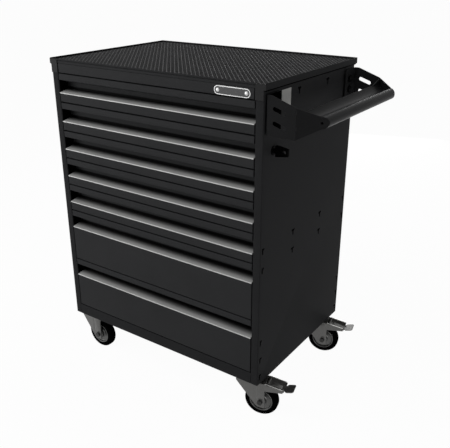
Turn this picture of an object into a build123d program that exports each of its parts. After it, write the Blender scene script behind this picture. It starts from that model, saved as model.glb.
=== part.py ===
from build123d import *
import math
import os

# Drawer tool cabinet on castors, in millimetres. The measuring frame has x to the right, y to the
# back and z up, from the middle of the cabinet's lower front edge. save() then moves every piece so
# that the origin is on the floor under the middle of the whole object.

# Carcass
cab_w = 720.0
cab_d = 500.0
sheet = 1.5
post_w = 22.6
post_d = 35.0
rear_flange = 15.0
back_t = 1.2
base_t = 2.0
base_h = 35.5
base_flange = 20.0
castor_h = 125.0

# Drawer rows, top to bottom, in row heights
row_h = 84.8
rows = [1, 1, 1, 1, 1, 2, 2]
front_gap = 2.0
side_gap = 1.7

# Drawer front: depths go back from the face, drops go down from the top of the drawer's row
strip_drop = 19.3
recess_d = 33.5
recess_drop = 29.5
crease_drop = 50.0
ledge_drop = 57.0
front_t = 1.2
trim_t = 1.2
trim_nose = 1.6
trim_end_gap = 0.5

# Drawer box
box_t = 1.0
box_top_drop = 8.0
box_lift = 3.0
box_rear_gap = 11.3

# Three-part drawer slides
slide_w = 12.7
slide_h = 45.0
slide_t = 1.2
slide_play = 0.4
slide_start = 38.0
slide_len = 448.0
slide_drop = 50.0
upright_front_y = 76.0
upright_rear_y = 400.0
upright_w = 30.0
upright_top_gap = 4.0

# Fascia, lid and mat
fascia_h = 27.5
fascia_gap = 0.5
fascia_end = 4.4
fascia_ledge = 9.5
fascia_tab_back = 3.0
lid_rise = 4.3
lid_over = 5.0
lid_band = 16.0
lip_back = 8.0
lip_out = 1.0
lip_gap = 0.3
mat_t = 3.0
mat_gap = 0.3
rim_h = 5.0
cap_w = 24.0
cap_t = 1.6
cap_below_rim = 2.0
cap_round = 6.0

# Key-shaped hanging slots in the side panels
slot_w = 4.0
slot_h = 16.0
slot_arm = 14.5
slot_pitch_z = 55.4
slot_first_z = 31.0
slot_edge_y = 11.5
slot_rows_edge = [0, 1, 2, 6, 7]
slot_rows_inner = [6, 7, 14]

# Handle on the right-hand side
bracket_t = 2.0
bracket_stand = 5.0
bracket_inset_y = 6.0
bracket_reach = 77.0
bracket_z = 717.0
bracket_edge_h = 97.0
bracket_flat = 13.0
bracket_fold_h = 75.0
bracket_flange = 64.0
wing_angle = 34.0
handle_x = 131.5
handle_z = 757.8
handle_r = 14.2
handle_wall = 1.5
tray_reach = 48.5
tray_edge_h = 19.2
tray_gusset_h = 33.0
tray_gusset_len = 50.0
tray_sag_x = 4.8
tray_sag_z = 7.2
tray_meet_deg = 150.0
hang_slot_len = 38.0
hang_slot_w = 10.5
hang_slot_tilt = -18.0
hang_slot_x = 33.5
hang_slots_h = [27.5, 61.5]
relief_w = 3.0
relief_h = 8.0
relief_h_up = [27.0, 65.0]
wing_hole_r = 2.75
bolt_r = 4.0
bolt_play = 0.2
bolt_head_r = 10.0
bolt_head_h = 5.0
bolt_nut_h = 6.5
bolt_nut_r = 8.0
bolt_spacer_r = 8.0
bolt_inset_y = 44.5
bolts_h = [40.0, 70.0]

# Central lock
lock_y = 50.0
lock_z = 670.0
lock_barrel_r = 9.5
lock_core_r = 6.0
lock_flange_r = 12.0
lock_flange_t = 2.0
lock_play = 0.05
lock_depth = 11.6
cam_r = 11.0
cam_t = 3.0
cam_pin_orbit = 8.0
cam_pin_r = 1.5
cam_pin_play = 0.35
cam_slot_edge = 1.5
bar_t = 3.0
bar_w = 16.0
bar_y = 48.0
bar_x_gap = 0.5
bar_play = 0.3
bar_tail = 30.0
guide_h = 12.0
guide_wall = 3.0
guide_drop = 70.0
catch_reach = 8.3
catch_t = 2.0
catch_gap = 2.0
catch_lift = 2.5
catch_h = 11.0
tab_h = 10.0
tab_d = 10.0
tab_reach = 6.4
tab_clear = 1.8
key_t = 2.4
key_h = 12.0
key_pivot = 16.2
key_past_pin = 3.0
key_pin_r = 1.5
bow_back = 7.0
bow_len = 24.0
bow_half_h = 15.0
bow_t = 8.0
bow_slot_end = 8.0
bow_inner_cut = 6.0
bow_outer_cut = 8.0
bow_play = 0.3
bow_hole = 14.5
bow_hole_r = 5.0

# Castors
tyre_gap = 11.6
wheel_w = 28.0
tyre_depth = 14.0
tyre_round = 9.0
trail = 32.3
castor_inset_x = 42.3
castor_front_y = 40.0
castor_rear_inset = 66.0
braked_turn_deg = 14.0
plate_half_x = 40.0
plate_half_y = 36.0
plate_t = 3.0
plate_bolt_x = 30.0
plate_bolt_y = 26.0
plate_bolt_r = 4.0
plate_head_r = 6.5
plate_head_h = 4.5
race_r = 27.0
race_h = 6.0
king_r = 6.0
king_head_r = 10.0
king_head_h = 3.6
swivel_gap = 0.4
crown_t = 4.0
fork_t = 3.0
fork_half = 23.0
fork_lead = 44.0
fork_lead_h = 6.0
fork_crease = 11.0
fork_bend = 8.0
fork_heel = 13.0
fork_toe = 16.0
hub_gap = 0.4
axle_r = 5.0
bearing_play = 0.05
nut_r = 8.0
nut_h = 5.0
rim_band_t = 3.0
hub_r = 15.0
rim_dish = 7.0

# Brake pedal on the right-hand castors
arm_end_x = 98.0
arm_root_h = 24.5
arm_end_h = 9.8
pedal_droop_deg = 10.0
pedal_half = 19.0
pedal_t = 2.0
pedal_start = 48.0
pedal_end = 102.0
pedal_top = 8.5
pedal_h = 9.5
pedal_pivot = 53.0
pedal_pin_r = 2.5
tip_len = 26.0
tip_rise = 3.5
tip_half = 18.5
tip_neck_half = 11.0
tip_flare = 6.0
tip_cut = 4.0
shoe_x = 68.0
shoe_w = 6.0
shoe_gap = 13.0

# Sizes worked out from the ones above
half_w = cab_w / 2
open_half = half_w - post_w
inner_x = half_w - sheet
drawers_top = base_h + row_h * sum(rows)
fascia_top = drawers_top + fascia_h
lid_under = fascia_top + lid_rise
lid_floor = lid_under + sheet
mat_top = lid_floor + mat_t
rim_top = mat_top + rim_h
back_y = cab_d - sheet - back_t
box_half = open_half - slide_w
box_front = recess_d + front_t
box_rear = back_y - box_rear_gap
wall_x = half_w + bracket_stand
fold_x = wall_x + bracket_reach
cam_offset = cam_pin_orbit / math.sqrt(2)
key_pin_x = half_w + lock_flange_t + key_pivot
bar_x = inner_x - lock_depth - cam_t - bar_x_gap - bar_t
plate_z = -plate_t
race_z = plate_z - race_h
crown_z = race_z - swivel_gap
crown_low = crown_z - crown_t
wheel_r = (castor_h + crown_low - tyre_gap) / 2
axle_z = wheel_r - castor_h
pedal_pin_z = -pedal_top - pedal_h / 2
pedal_floor_z = -pedal_top - pedal_h
shoe_low = axle_z + math.sqrt(wheel_r**2 - (shoe_x - trail) ** 2) + shoe_gap
lid_out = half_w + lid_over
low_x = -lid_out
high_x = half_w + handle_x + handle_r
low_y = -cap_t
high_y = cab_d + lid_over
mid_x = (low_x + high_x) / 2
mid_y = (low_y + high_y) / 2


def save(name, solids):
    """Write one node, moved so that the floor under the object's middle is the origin."""
    moved = [Pos(-mid_x, -mid_y, castor_h) * solid for solid in solids]
    export_step(Compound(children=moved), "parts/" + name + ".step")


def block(x0, x1, y0, y1, z0, z1):
    """A box between two corners, given in any order."""
    middle = Pos((x0 + x1) / 2, (y0 + y1) / 2, (z0 + z1) / 2)
    return middle * Box(abs(x1 - x0), abs(y1 - y0), abs(z1 - z0))


def prism_x(points, x0, x1):
    """A polygon of (y, z) points pushed from x0 to x1."""
    face = make_face(Polyline(*[(x0, y, z) for y, z in points], close=True))
    return extrude(face, amount=x1 - x0, dir=(1, 0, 0))


def prism_y(points, y0, y1):
    """A polygon of (x, z) points pushed from y0 to y1."""
    face = make_face(Polyline(*[(x, y0, z) for x, z in points], close=True))
    return extrude(face, amount=y1 - y0, dir=(0, 1, 0))


def prism_z(points, z0, z1):
    """A polygon of (x, y) points pushed from z0 to z1."""
    face = make_face(Polyline(*[(x, y, z0) for x, y in points], close=True))
    return extrude(face, amount=z1 - z0, dir=(0, 0, 1))


def rod_x(radius, x0, x1, y, z):
    """A round rod along x."""
    return Pos((x0 + x1) / 2, y, z) * Rot(0, 90, 0) * Cylinder(radius, abs(x1 - x0))


def rod_y(radius, x, y0, y1, z):
    """A round rod along y."""
    return Pos(x, (y0 + y1) / 2, z) * Rot(90, 0, 0) * Cylinder(radius, abs(y1 - y0))


def rod_z(radius, x, y, z0, z1):
    """A round rod along z."""
    return Pos(x, y, (z0 + z1) / 2) * Cylinder(radius, abs(z1 - z0))


def hexagon(radius):
    """Corners of a hexagon for a nut or a bolt head."""
    angles = [math.radians(degrees) for degrees in range(0, 360, 60)]
    return [(radius * math.cos(angle), radius * math.sin(angle)) for angle in angles]


def bent_sheet(path, t):
    """Closed outline of a sheet that follows an open path and is t thick to the path's left."""
    normals = []
    for (a0, b0), (a1, b1) in zip(path, path[1:]):
        length = math.hypot(a1 - a0, b1 - b0)
        normals.append((-(b1 - b0) / length, (a1 - a0) / length))
    inner = []
    for i, (a, b) in enumerate(path):
        na, nb = normals[max(i - 1, 0)]
        ma, mb = normals[min(i, len(normals) - 1)]
        scale = t / (1 + na * ma + nb * mb)
        inner.append((a + (na + ma) * scale, b + (nb + mb) * scale))
    return path + inner[::-1]


def mirror_x(points):
    """The same outline on the other side of the middle."""
    return [(-a, b) for a, b in points]


def mirror_y(solid):
    """The same solid at the other end of the cabinet's depth."""
    return mirror(solid, about=Plane.XZ.offset(-cab_d / 2))


def row_tops():
    """Height of the top of each drawer's row, with the number of rows that it takes."""
    top = drawers_top
    found = []
    for count in rows:
        found.append((top, count))
        top -= count * row_h
    return found


def hanging_slot(y, top, left, right):
    """A T-shaped hanging slot, to be cut through a side panel, with arms to one side or both."""
    x0 = inner_x - sheet
    x1 = half_w + sheet
    stem = block(x0, x1, y - slot_w / 2, y + slot_w / 2, top - slot_h, top)
    arm = block(x0, x1, y - left, y + right, top - slot_w, top)
    return stem + arm


def side_panel():
    """Right-hand panel with its front post, rear flange and hanging slots, before its own holes."""
    path = [
        (open_half, post_d),
        (open_half, 0.0),
        (half_w, 0.0),
        (half_w, cab_d),
        (half_w - rear_flange, cab_d),
    ]
    panel = prism_z(bent_sheet(path, sheet), 0.0, lid_under)
    pitch_y = (cab_d - 2 * slot_edge_y) / 3
    half_arm = slot_arm / 2
    for row in slot_rows_edge:
        top = slot_first_z + row * slot_pitch_z
        panel -= hanging_slot(slot_edge_y, top, slot_w / 2, half_arm)
        panel -= hanging_slot(cab_d - slot_edge_y, top, half_arm, slot_w / 2)
    for row in slot_rows_inner:
        top = slot_first_z + row * slot_pitch_z
        for column in (1, 2):
            panel -= hanging_slot(slot_edge_y + column * pitch_y, top, half_arm, half_arm)
    return panel


def side_panels():
    """Both panels. The right-hand one has the lock's hole and the handle's bolt holes."""
    left = mirror(side_panel(), about=Plane.YZ)
    right = side_panel()
    right -= rod_x(lock_barrel_r + bolt_play, inner_x - sheet, half_w + sheet, lock_y, lock_z)
    for y in (bolt_inset_y, cab_d - bolt_inset_y):
        for height in bolts_h:
            right -= rod_x(bolt_r + bolt_play, inner_x - sheet, half_w + sheet, y, bracket_z + height)
    save("side_panel_left", [left])
    save("side_panel_right", [right])


def castor_places():
    """Swivel axis of each castor. The ones on the right have a brake."""
    x = half_w - castor_inset_x
    rear_y = cab_d - castor_rear_inset
    return {
        "front_right": (x, castor_front_y),
        "rear_right": (x, rear_y),
        "front_left": (-x, castor_front_y),
        "rear_left": (-x, rear_y),
    }


def plate_bolt_places(x, y):
    """The four bolts of a castor plate."""
    return [(x + a * plate_bolt_x, y + b * plate_bolt_y) for a in (-1, 1) for b in (-1, 1)]


def base_and_back():
    """Floor pan with the front rail folded up from it, and the back panel."""
    floor = block(-open_half, open_half, 0.0, back_y, 0.0, base_t)
    floor += block(-inner_x, inner_x, post_d, back_y, 0.0, base_t)
    rail_top = base_h - front_gap / 2
    rail = [(0.0, 0.0), (0.0, rail_top), (base_flange, rail_top)]
    floor += prism_x(bent_sheet(rail, -sheet), -open_half, open_half)
    for x, y in castor_places().values():
        for bolt_x, bolt_y in plate_bolt_places(x, y):
            floor -= rod_z(plate_bolt_r + bolt_play, bolt_x, bolt_y, -base_t, 2 * base_t)
    save("base_pan", [floor])
    back = block(-inner_x, inner_x, back_y, back_y + back_t, 0.0, lid_under)
    save("back_panel", [back])


def fascia():
    """Strip above the top drawer. Its ends stand back from the corner caps, on hidden tabs."""
    low = drawers_top + fascia_gap
    path = [
        (fascia_ledge, low),
        (0.0, low),
        (0.0, fascia_top),
        (fascia_ledge, fascia_top),
    ]
    end_x = open_half - fascia_end
    strip = prism_x(bent_sheet(path, -sheet), -end_x, end_x)
    for x0, x1 in ((end_x - sheet, open_half), (sheet - end_x, -open_half)):
        for z in (low, fascia_top - sheet):
            strip += block(x0, x1, fascia_tab_back, fascia_ledge, z, z + sheet)
    save("top_fascia", [strip])


def lid():
    """Folded lid pan that overhangs the sides and the back, with a slanted lip at the front."""
    lip_low = fascia_top + lip_gap
    lip_h = mat_top - lip_low
    lip_run = lip_back + lip_out
    lip_thick = sheet * math.hypot(lip_run, lip_h) / lip_h
    lip_floor_y = lip_run * mat_t / lip_h - lip_out
    lip = [
        (lip_back, lip_low),
        (-lip_out, mat_top),
        (lip_thick - lip_out, mat_top),
        (lip_back + lip_thick, lip_low),
    ]
    cap_in = half_w - cap_w
    pan = prism_x(lip, -cap_in, cap_in)
    pan += block(-cap_in, cap_in, lip_floor_y + lip_thick / 2, high_y, lid_under, lid_floor)
    pan += block(-lid_out, lid_out, lip_back, high_y, lid_under, lid_floor)
    low = rim_top - lid_band
    for side in (-1, 1):
        pan += block(side * (lid_out - sheet), side * lid_out, 0.0, high_y, low, rim_top)
        pan += block(side * cap_in, side * lid_out, 0.0, lip_back, lid_under, lid_floor)
    pan += block(-lid_out, lid_out, high_y - sheet, high_y, low, rim_top)
    save("lid_tray", [pan])
    mat_x = lid_out - sheet - mat_gap
    mat_back = high_y - sheet - mat_gap
    inner_top = lip_thick - lip_out + mat_gap
    inner_low = lip_floor_y + lip_thick + mat_gap
    outline = [(inner_top, mat_top), (inner_low, lid_floor), (mat_back, lid_floor), (mat_back, mat_top)]
    mat = prism_x(outline, -cap_in, cap_in)
    mat += block(-mat_x, mat_x, inner_low, mat_back, lid_floor, mat_top)
    for side in (-1, 1):
        mat += block(side * cap_in, side * mat_x, mat_gap, inner_low, lid_floor, mat_top)
    save("top_mat", [mat])


def corner_caps():
    """Caps on the upper front corners: a plate on the post, wider where it closes the lid's side."""
    cap_in = half_w - cap_w
    low = drawers_top + fascia_gap
    band_low = rim_top - lid_band
    top = rim_top - cap_below_rim
    caps = []
    for side in (-1, 1):
        outline = [
            (cap_in, low),
            (half_w, low),
            (half_w, band_low),
            (lid_out, band_low),
            (lid_out, top),
            (cap_in, top),
        ]
        if side < 0:
            outline = mirror_x(outline)
        plate = prism_y(outline, -cap_t, 0.0)
        corner = plate.edges().filter_by(Axis.Y).sort_by_distance((side * cap_in, 0, top))[0]
        plate = fillet(corner, cap_round)
        caps.append(plate)
    save("corner_caps", caps)


def drawer_front(top, bottom):
    """Folded drawer front: strip, slanted face, finger recess, ledge and lower face, with closed ends."""
    half = open_half - side_gap
    face_top = top - front_gap / 2
    path = [
        (box_front, face_top),
        (0.0, face_top),
        (0.0, top - strip_drop),
        (recess_d, top - recess_drop),
        (recess_d, top - crease_drop),
        (0.0, top - ledge_drop),
        (0.0, bottom),
        (box_front, bottom),
    ]
    front = prism_x(bent_sheet(path, front_t), -half, half)
    upper = [path[0], path[1], path[2], path[3], (box_front, path[3][1])]
    lower = [path[7], path[6], path[5], path[4], (box_front, path[4][1])]
    for side in (-1, 1):
        front += prism_x(upper, side * half, side * (half - front_t))
        front += prism_x(lower, side * half, side * (half - front_t))
    return front


def grip_trim(top):
    """Aluminium trim along the recess's ledge, with a small nose over the drawer's face."""
    half = open_half - side_gap - trim_end_gap
    slope = (ledge_drop - crease_drop) / recess_d
    back = recess_d - trim_t
    path = [
        (back, top - crease_drop - slope * (recess_d - back)),
        (0.0, top - ledge_drop),
        (0.0, top - ledge_drop - trim_nose),
    ]
    return prism_x(bent_sheet(path, -trim_t), -half, half)


def channel(web_x, reach, half_h, t, y0, y1):
    """A C-shaped rail: an upright web at web_x and two flanges that reach along x."""
    step = t if reach > 0 else -t
    rail = block(web_x, web_x + step, y0, y1, -half_h, half_h)
    for side in (-1, 1):
        rail += block(web_x, web_x + reach, y0, y1, side * half_h, side * (half_h - t))
    return rail


def slide_rails(side, y0, y1):
    """Outer, middle and inner rail of the slide on one side, at height 0."""
    half = slide_h / 2
    step = slide_t + slide_play
    flange_end = box_half + slide_t + slide_play
    outer_x = open_half
    middle_x = outer_x - step
    outer = channel(side * outer_x, side * (flange_end - outer_x), half, slide_t, y0, y1)
    middle = channel(side * middle_x, side * (flange_end - middle_x), half - step, slide_t, y0, y1)
    reach = middle_x - step - box_half
    inner = channel(side * box_half, side * reach, half - 2 * step, slide_t, y0, y1)
    return outer, middle, inner


def catch_low(top):
    """Lower edge of the catch on the drawer whose row has this top."""
    return top - slide_drop + slide_h / 2 + catch_lift


def drawer_box(top, bottom):
    """Open sheet box of a drawer, with the catch that the lock bar blocks on its right-hand side."""
    low = bottom + box_lift
    high = top - box_top_drop
    box = block(-box_half, box_half, box_front, box_rear, low, high)
    inner_half = box_half - box_t
    box -= block(-inner_half, inner_half, box_front + box_t, box_rear - box_t, low + box_t, high + box_t)
    catch_y = bar_y + tab_d + catch_gap
    catch_z = catch_low(top)
    catch = block(box_half, box_half + catch_reach, catch_y, catch_y + catch_t, catch_z, catch_z + catch_h)
    return [box, catch]


def drawers():
    """Seven drawers, each with its box, front, grip trim and slides."""
    slide_end = slide_start + slide_len
    outer_rails = []
    for number, (top, count) in enumerate(row_tops(), start=1):
        bottom = top - count * row_h + front_gap / 2
        runner_z = top - slide_drop
        middles = []
        inners = []
        for side in (-1, 1):
            outer, middle, inner = slide_rails(side, slide_start, slide_end)
            outer_rails.append(Pos(0, 0, runner_z) * outer)
            middles.append(Pos(0, 0, runner_z) * middle)
            inners.append(Pos(0, 0, runner_z) * inner)
        tag = str(number)
        save("drawer_box_" + tag, drawer_box(top, bottom) + inners)
        save("drawer_front_" + tag, [drawer_front(top, bottom)])
        save("drawer_grip_" + tag, [grip_trim(top)])
        save("slide_middle_" + tag, middles)
    save("slide_outer_rails", outer_rails)


def uprights():
    """Four inner channels that stand on the floor pan and carry the drawer slides."""
    found = []
    for y in (upright_front_y, upright_rear_y):
        path = [(inner_x, y), (open_half, y), (open_half, y + upright_w), (inner_x, y + upright_w)]
        outline = bent_sheet(path, -sheet)
        found.append(prism_z(outline, base_t, drawers_top - upright_top_gap))
        found.append(prism_z(mirror_x(outline), base_t, drawers_top - upright_top_gap))
    save("slide_uprights", found)


def bracket():
    """Front handle bracket: a flange along the panel, a plate with two slots and a folded wing."""
    y0 = bracket_inset_y
    edge_top = bracket_z + bracket_edge_h
    fold_top = bracket_z + bracket_fold_h
    tube_x = half_w + handle_x
    flange = block(wall_x, wall_x + bracket_t, y0, y0 + bracket_flange, bracket_z, edge_top)
    plate = prism_y(
        [
            (wall_x, bracket_z),
            (fold_x, bracket_z),
            (fold_x, fold_top),
            (wall_x + bracket_flat, edge_top),
            (wall_x, edge_top),
        ],
        y0,
        y0 + bracket_t,
    )
    outline = [
        (fold_x, bracket_z),
        (fold_x, fold_top),
        (tube_x, handle_z + handle_r),
        (tube_x, handle_z - handle_r),
    ]
    silhouette = prism_y(outline, 0.0, cab_d / 2) + rod_y(handle_r, tube_x, 0.0, cab_d / 2, handle_z)
    wing = silhouette & prism_z(wing_strip(fold_x, tube_x + 2 * handle_r), 0.0, rim_top)
    whole = flange + plate + wing
    for height in hang_slots_h:
        slot = Plane.XZ * Rot(0, 0, hang_slot_tilt) * SlotOverall(hang_slot_len, hang_slot_w)
        cut = extrude(slot, amount=bracket_inset_y, both=True)
        whole -= Pos(wall_x + hang_slot_x, y0, bracket_z + height) * cut
    for height in relief_h_up:
        z0 = bracket_z + height - relief_h / 2
        whole -= block(fold_x - relief_w / 2, fold_x + relief_w / 2, 0.0, 2 * y0, z0, z0 + relief_h)
    whole -= rod_y(wing_hole_r, tube_x, 0.0, cab_d / 4, handle_z)
    for height in bolts_h:
        whole -= rod_x(bolt_r + bolt_play, half_w, fold_x, bolt_inset_y, bracket_z + height)
    return whole


def wing_strip(x0, x1):
    """Plan outline of the wing's sheet between two distances out from the cabinet."""
    slope = math.tan(math.radians(wing_angle))
    thick = bracket_t / math.cos(math.radians(wing_angle))
    y0 = bracket_inset_y
    far = y0 + (x1 - x0) * slope
    return [(x0, y0), (x1, far), (x1, far + thick), (x0, y0 + thick)]


def handle_rail():
    """Round grip rolled on the edge of a small tray, cut to lie between the two wings."""
    tube_x = half_w + handle_x
    edge_x = tube_x - tray_reach
    edge_z = handle_z + tray_edge_h
    gusset_z = handle_z + tray_gusset_h
    meet = math.radians(tray_meet_deg)
    inner_r = handle_r - handle_wall
    end_x = tube_x + (handle_r - handle_wall / 2) * math.cos(meet)
    end_z = handle_z + (handle_r - handle_wall / 2) * math.sin(meet)
    sag_x = (edge_x + end_x) / 2 - tray_sag_x
    sag_z = (edge_z + end_z) / 2 - tray_sag_z
    inward = handle_wall / math.sqrt(2)
    curve = ThreePointArc((edge_x, 0, edge_z), (sag_x, 0, sag_z), (end_x, 0, end_z))
    lower = ThreePointArc(
        (edge_x + handle_wall, 0, edge_z),
        (sag_x + inward, 0, sag_z + inward),
        (end_x, 0, end_z + handle_wall),
    )
    close_a = Line((edge_x, 0, edge_z), (edge_x + handle_wall, 0, edge_z))
    close_b = Line((end_x, 0, end_z), (end_x, 0, end_z + handle_wall))
    tray = extrude(make_face([curve, lower, close_a, close_b]), amount=cab_d, dir=(0, 1, 0))
    gusset_line = wing_face_y(edge_x)
    wall = prism_x(
        [
            (0.0, edge_z),
            (0.0, gusset_z),
            (gusset_line, gusset_z),
            (gusset_line + tray_gusset_len, edge_z),
        ],
        edge_x,
        edge_x + handle_wall,
    )
    rail = rod_y(handle_r, tube_x, 0.0, cab_d, handle_z) + tray + wall + mirror_y(wall)
    rail -= rod_y(inner_r, tube_x, 0.0, cab_d, handle_z)
    x1 = tube_x + 2 * handle_r
    between = [
        (fold_x, wing_face_y(fold_x)),
        (x1, wing_face_y(x1)),
        (x1, cab_d - wing_face_y(x1)),
        (fold_x, cab_d - wing_face_y(fold_x)),
    ]
    return rail & prism_z(between, 0.0, rim_top)


def wing_face_y(x):
    """Where the front wing's inner face is at a distance out from the cabinet."""
    slope = math.tan(math.radians(wing_angle))
    return bracket_inset_y + bracket_t / math.cos(math.radians(wing_angle)) + (x - fold_x) * slope


def handle():
    """The two brackets, the rail between them and the bolts with their spacers."""
    front = bracket()
    save("handle_brackets", [front, mirror_y(front)])
    save("handle_rail", [handle_rail()])
    fasteners = []
    face = wall_x + bracket_t
    for y in (bolt_inset_y, cab_d - bolt_inset_y):
        for height in bolts_h:
            z = bracket_z + height
            bolt = rod_x(bolt_r, inner_x - bolt_nut_h, face + bolt_head_h, y, z)
            head = rod_x(bolt_head_r, face, face + bolt_head_h, y, z)
            bolt += fillet(head.edges().sort_by(Axis.X)[-1], bolt_head_h / 2)
            nut = [(y + a, z + b) for a, b in hexagon(bolt_nut_r)]
            bolt += prism_x(nut, inner_x - bolt_nut_h, inner_x)
            spacer = rod_x(bolt_spacer_r, half_w, wall_x, y, z)
            spacer -= rod_x(bolt_r + bolt_play, half_w, wall_x, y, z)
            fasteners += [bolt, spacer]
    save("handle_bolts", fasteners)


def lock_housing():
    """Barrel in the panel and the two guides that carry the bar."""
    barrel_in = inner_x - lock_depth + swivel_gap
    outer = half_w + lock_flange_t
    housing = rod_x(lock_barrel_r, barrel_in, outer, lock_y, lock_z)
    housing += rod_x(lock_flange_r, half_w, outer, lock_y, lock_z)
    housing -= rod_x(lock_core_r + lock_play, barrel_in, outer, lock_y, lock_z)
    guides = []
    bar_end = bar_y + bar_w
    for top, _ in (row_tops()[0], row_tops()[-2]):
        z0 = top - guide_drop
        z1 = z0 + guide_h
        guide = block(open_half + bar_play, inner_x, bar_y - guide_wall, bar_end + guide_wall, z0, z1)
        guide -= block(bar_x - bar_play, bar_x + bar_t + bar_play, bar_y - bar_play, bar_end + bar_play, z0, z1)
        guides.append(guide)
    save("lock_housing", [housing] + guides)


def lock_core():
    """Turning plug with the cam and its pin at the inner end and the key's shank at the outer end."""
    outer = half_w + lock_flange_t
    cam_x = inner_x - lock_depth
    core = rod_x(lock_core_r, cam_x, outer + lock_play, lock_y, lock_z)
    core += rod_x(cam_r, cam_x - cam_t, cam_x, lock_y, lock_z)
    core += rod_x(cam_pin_r, bar_x - bar_play, cam_x - cam_t, lock_y + cam_offset, lock_z + cam_offset)
    shank_end = key_pin_x + key_past_pin
    half_t = key_t / 2
    half_h = key_h / 2
    core += block(outer, shank_end, lock_y - half_t, lock_y + half_t, lock_z - half_h, lock_z + half_h)
    core += rod_y(key_pin_r, key_pin_x, lock_y - bow_t / 2, lock_y + bow_t / 2, lock_z)
    save("lock_core", [core])


def key_bow():
    """Grip of the key, which folds down on the shank's pin, with a hole for a key ring."""
    back_x = key_pin_x - bow_back
    tip_x = key_pin_x + bow_len
    upper = [
        (tip_x, bow_half_h - bow_outer_cut),
        (tip_x - bow_outer_cut, bow_half_h),
        (back_x + bow_inner_cut, bow_half_h),
        (back_x, bow_half_h - bow_inner_cut),
    ]
    lower = [(x, -z) for x, z in reversed(upper)]
    outline = [(x, lock_z + z) for x, z in upper + lower]
    y0 = lock_y - bow_t
    y1 = lock_y + bow_t
    bow = prism_y(outline, lock_y - bow_t / 2, lock_y + bow_t / 2)
    bow -= rod_y(bow_hole_r, key_pin_x + bow_hole, y0, y1, lock_z)
    bow -= rod_y(key_pin_r + lock_play, key_pin_x, y0, y1, lock_z)
    slot_half = key_t / 2 + bow_play
    low = lock_z - 2 * bow_half_h
    high = lock_z + 2 * bow_half_h
    bow -= block(back_x - bow_back, key_pin_x + bow_slot_end, lock_y - slot_half, lock_y + slot_half, low, high)
    save("key_bow", [bow])


def lock_bar():
    """Bar that the cam's pin moves down, with a tab above each drawer's catch."""
    tab_zs = [catch_low(top) + catch_h + tab_clear for top, _ in row_tops()]
    bar = block(bar_x, bar_x + bar_t, bar_y, bar_y + bar_w, tab_zs[-1] - bar_tail, tab_zs[0] + tab_h)
    tabs = [block(open_half - tab_reach, bar_x, bar_y, bar_y + tab_d, z, z + tab_h) for z in tab_zs]
    slot_z = lock_z + cam_offset
    gap = cam_pin_r + cam_pin_play
    slot_y0 = lock_y + cam_offset - gap
    slot_y1 = bar_y + bar_w - cam_slot_edge
    bar -= block(bar_x - bar_t, bar_x + 2 * bar_t, slot_y0, slot_y1, slot_z - gap, slot_z + gap)
    save("lock_bar", [bar] + tabs)


def castor_plates():
    """Top plates with their bearing race and kingpin, and the bolts that hold them to the floor pan."""
    found = []
    for x, y in castor_places().values():
        plate = block(x - plate_half_x, x + plate_half_x, y - plate_half_y, y + plate_half_y, plate_z, 0.0)
        plate += rod_z(race_r, x, y, race_z, plate_z)
        king_low = crown_low - swivel_gap
        plate += rod_z(king_r, x, y, king_low, race_z)
        plate += rod_z(king_head_r, x, y, king_low - king_head_h, king_low)
        for bolt_x, bolt_y in plate_bolt_places(x, y):
            plate -= rod_z(plate_bolt_r + bolt_play, bolt_x, bolt_y, 2 * plate_z, plate_t)
            bolt = rod_z(plate_bolt_r, bolt_x, bolt_y, plate_z - plate_head_h, base_t + plate_head_h)
            head = [(bolt_x + a, bolt_y + b) for a, b in hexagon(plate_head_r)]
            bolt += prism_z(head, plate_z - plate_head_h, plate_z)
            bolt += prism_z(head, base_t, base_t + plate_head_h)
            found.append(bolt)
        found.append(plate)
    save("castor_plates", found)


def arm_outline(root_x):
    """Side view of the arm beside the pedal: its top falls with the pedal and its height shrinks outwards."""
    end_z = crown_z - (arm_end_x - pedal_pivot) * math.tan(math.radians(pedal_droop_deg))
    return [
        (root_x, crown_z - arm_root_h),
        (root_x, crown_z),
        (pedal_pivot, crown_z),
        (arm_end_x, end_z),
        (arm_end_x, end_z - arm_end_h),
    ]


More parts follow.
